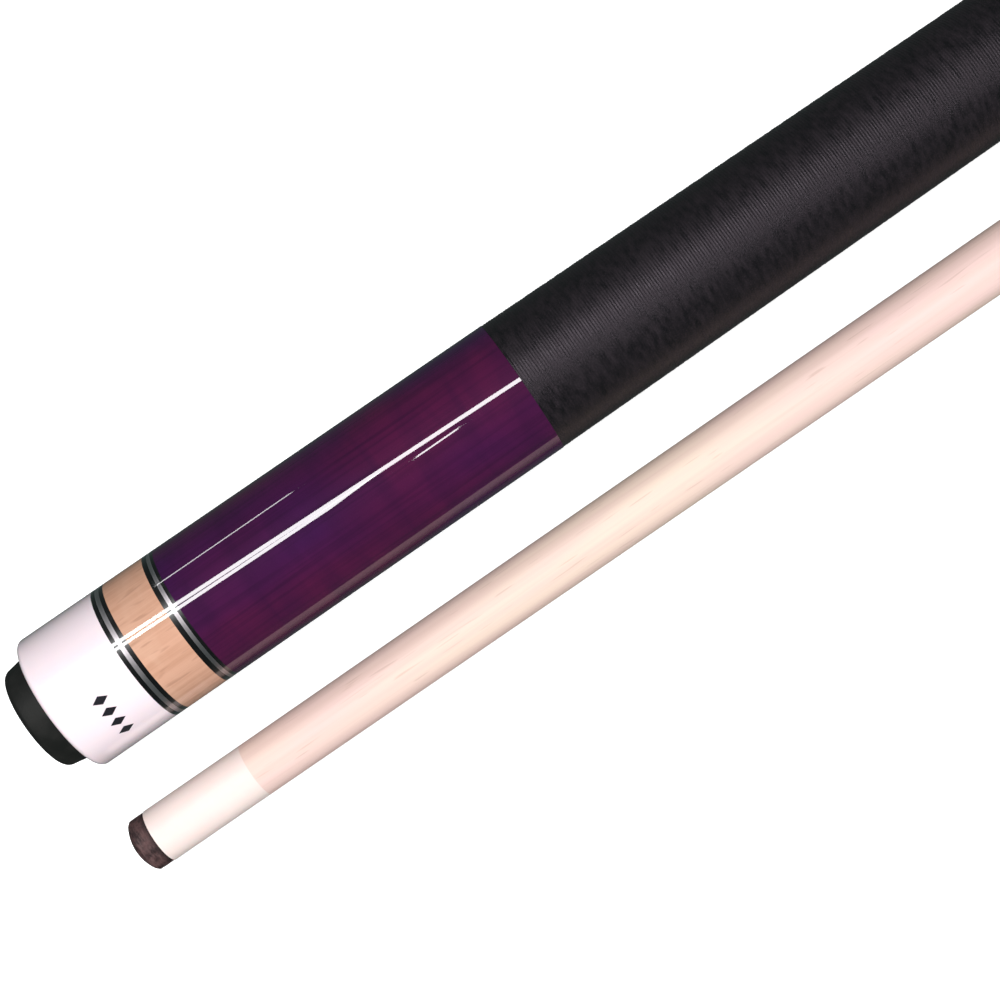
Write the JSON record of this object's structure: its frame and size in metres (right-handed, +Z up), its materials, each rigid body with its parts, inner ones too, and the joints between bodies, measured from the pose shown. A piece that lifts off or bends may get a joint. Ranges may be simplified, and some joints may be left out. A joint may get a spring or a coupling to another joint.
{
  "type": "pool cue",
  "caption": "Two-piece pool cue taken apart: butt half with linen wrap, trim rings and rubber bumper, and a slim maple shaft half with ferrule and leather tip.",
  "frame": {"origin": "middle of the bounding box, on the surface that both halves lie on", "axes": "+X along the halves towards their joint ends, +Y from the shaft half to the butt half, +Z up"},
  "size_m": [0.7669, 0.061, 0.0323],
  "materials": {
    "rubber": "satin moulded rubber",
    "white_plastic": "polished white plastic",
    "black_ring": "polished black plastic under clear coat",
    "silver_ring": "bright metal under clear coat",
    "natural_maple": "natural maple under clear coat",
    "purple_maple": "purple-stained maple under clear coat",
    "bare_maple": "bare maple",
    "black_linen": "pressed linen cord",
    "bolt_steel": "plain steel",
    "pin_steel": "machined stainless steel",
    "insert_brass": "machined brass",
    "shaft_maple": "pale maple, sealed and polished",
    "ferrule_plastic": "off-white plastic, satin",
    "tip_leather": "pressed brown leather"
  },
  "bodies": {
    "butt": {"butt_cap": "white_plastic", "cap_ring_black_rear": "black_ring", "cap_ring_silver": "silver_ring", "cap_ring_black_front": "black_ring", "maple_band": "natural_maple", "sleeve_ring_black_rear": "black_ring", "sleeve_ring_silver": "silver_ring", "sleeve_ring_black_front": "black_ring", "butt_sleeve": "purple_maple", "handle_core": "bare_maple", "linen_wrap": "black_linen", "forearm": "purple_maple", "handle_stud": "bolt_steel", "joint_ring_black_rear": "black_ring", "joint_ring_silver": "silver_ring", "joint_ring_black_front": "black_ring", "butt_collar": "white_plastic", "joint_pin": "pin_steel"},
    "shaft": {"shaft_collar": "white_plastic", "shaft_ring_black_rear": "black_ring", "shaft_ring_silver": "silver_ring", "shaft_ring_black_front": "black_ring", "joint_insert": "insert_brass", "shaft_wood": "shaft_maple", "ferrule": "ferrule_plastic", "leather_tip": "tip_leather"},
    "bumper": {"bumper": "rubber"},
    "weight_bolt": {"weight_bolt": "bolt_steel"}
  },
  "joints": [
    {"name": "shaft_swing", "type": "hinge", "parent": "butt", "child": "shaft", "pos_m": [0.36879, -0.00261, 0.01065], "axis": [0, 0, 1], "range_deg": [0, 180]},
    {"name": "bumper_pull", "type": "slide", "parent": "butt", "child": "bumper", "axis": [-1, 0, 0.0079], "range_m": [0, 0.02]},
    {"name": "weight_bolt_adjust", "type": "slide", "parent": "butt", "child": "weight_bolt", "axis": [-1, 0, 0.0079], "range_m": [0, 0.008]}
  ]
}
